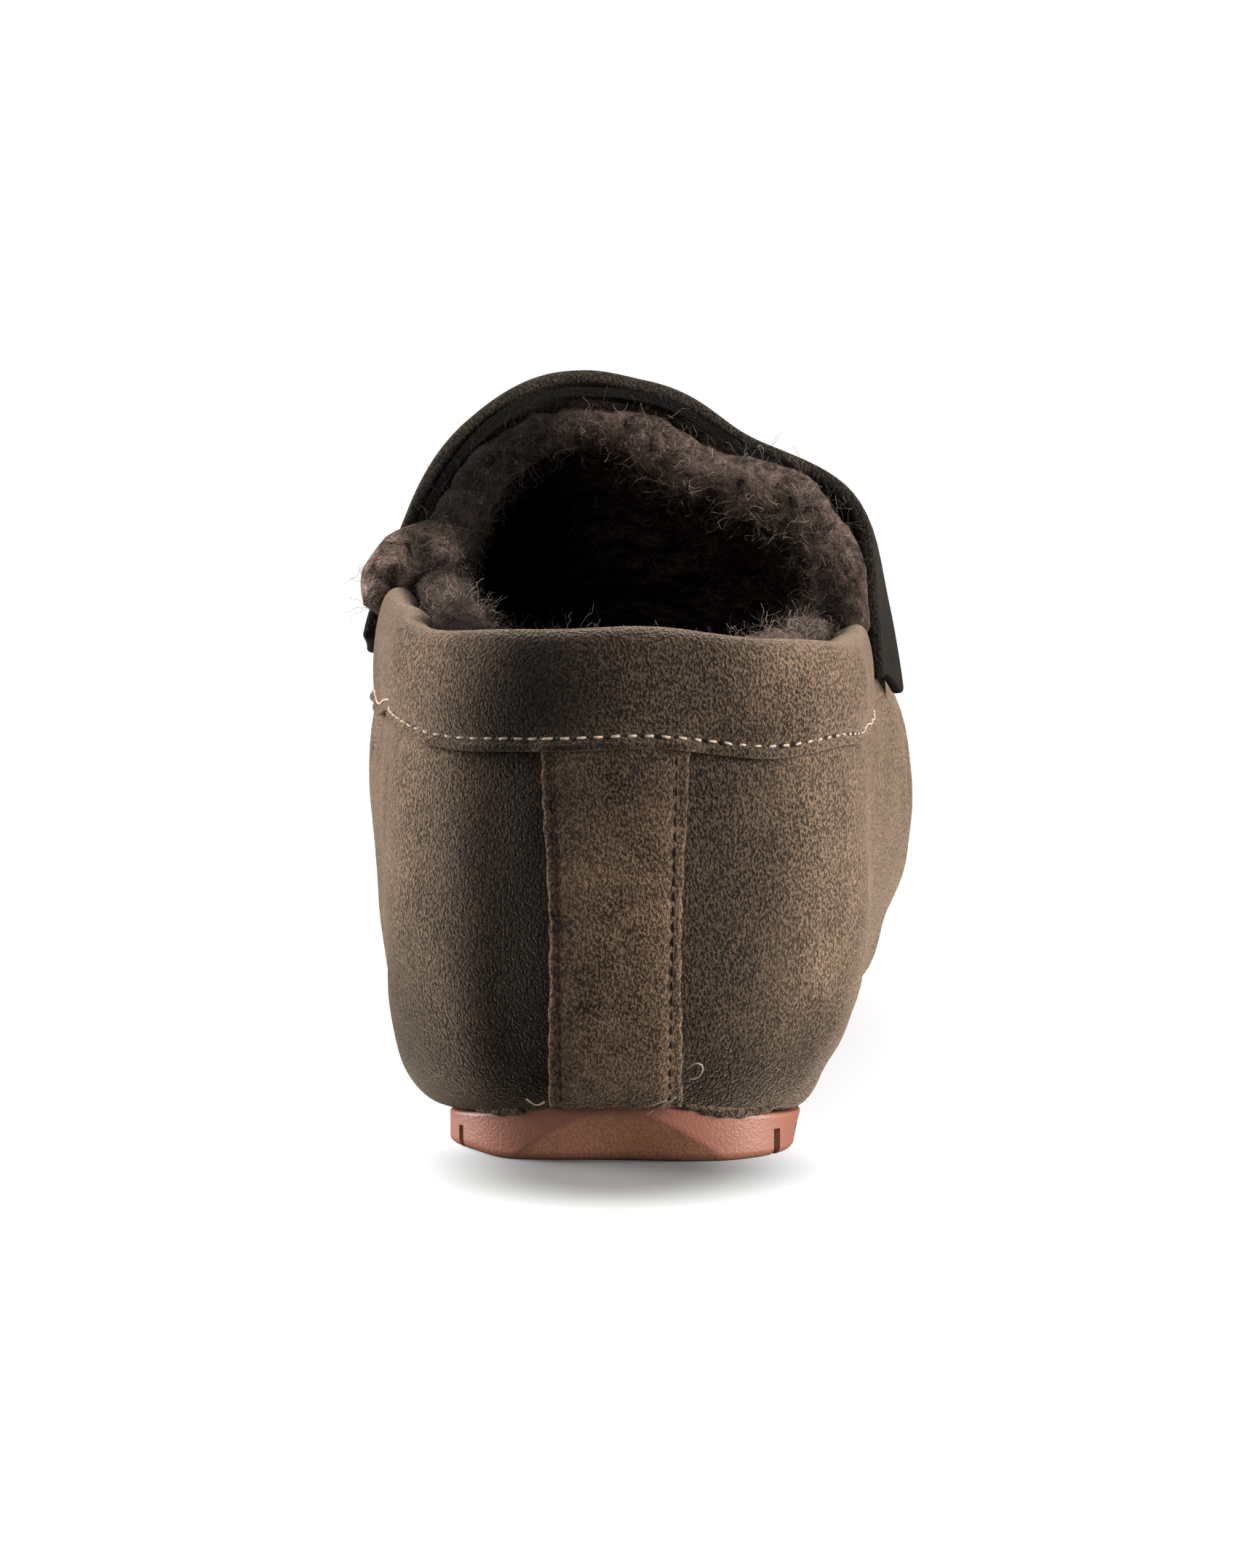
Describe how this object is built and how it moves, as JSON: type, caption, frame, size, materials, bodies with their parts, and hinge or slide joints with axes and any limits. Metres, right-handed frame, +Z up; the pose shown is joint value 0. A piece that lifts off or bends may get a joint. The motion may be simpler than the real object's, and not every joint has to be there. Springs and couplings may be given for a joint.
{
  "type": "sheepskin moccasin",
  "caption": "Slip-on suede slipper with a deep wool lining, a folded collar band, a heel strip, a strap over the instep and a flat gum rubber sole. Right foot.",
  "frame": {"origin": "on the floor under the middle of the shoe's bounding box", "axes": "+Y from heel to toe, +X to the outer side of the foot, +Z up"},
  "size_m": [0.1, 0.291, 0.1191],
  "materials": {
    "gum_rubber": "satin moulded gum rubber",
    "wool": "dark brown curly wool",
    "suede": "olive brown suede with a short nap",
    "band_suede": "olive brown suede with a short nap",
    "backstay_suede": "olive brown suede with a mottled nap",
    "strap_suede": "dark olive brown suede with cut edges"
  },
  "bodies": {
    "root": {"outsole": "gum_rubber", "insole": "wool", "upper": "suede", "collar_band": "band_suede", "backstay": "backstay_suede", "saddle_strap": "strap_suede"}
  },
  "joints": []
}
